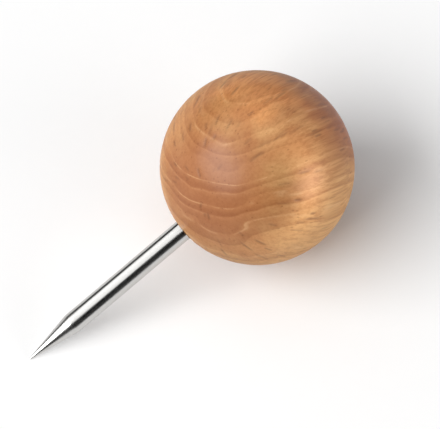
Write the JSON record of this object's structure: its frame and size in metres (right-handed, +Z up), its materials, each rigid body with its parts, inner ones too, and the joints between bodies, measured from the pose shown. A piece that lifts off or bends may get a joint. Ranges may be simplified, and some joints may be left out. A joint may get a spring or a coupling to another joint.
{
  "type": "push pin",
  "caption": "Push pin with a turned wooden ball as its grip, glued on a pointed steel needle that presses into a notice board.",
  "frame": {"origin": "on the table under the middle of the pin as it lies, at the bottom centre of its bounding box", "axes": "X along the pin as it lies, with the ball at +X and the needle pointing to -X and down to the table; +Z up from the table; Y across the ball"},
  "size_m": [0.0194, 0.01, 0.01],
  "materials": {
    "stained_wood": "satin lacquer",
    "needle_steel": "polished",
    "cured_glue": "glossy amber"
  },
  "bodies": {
    "root": {"wood_ball": "stained_wood", "steel_needle": "needle_steel", "glue_bond": "cured_glue"}
  },
  "joints": []
}
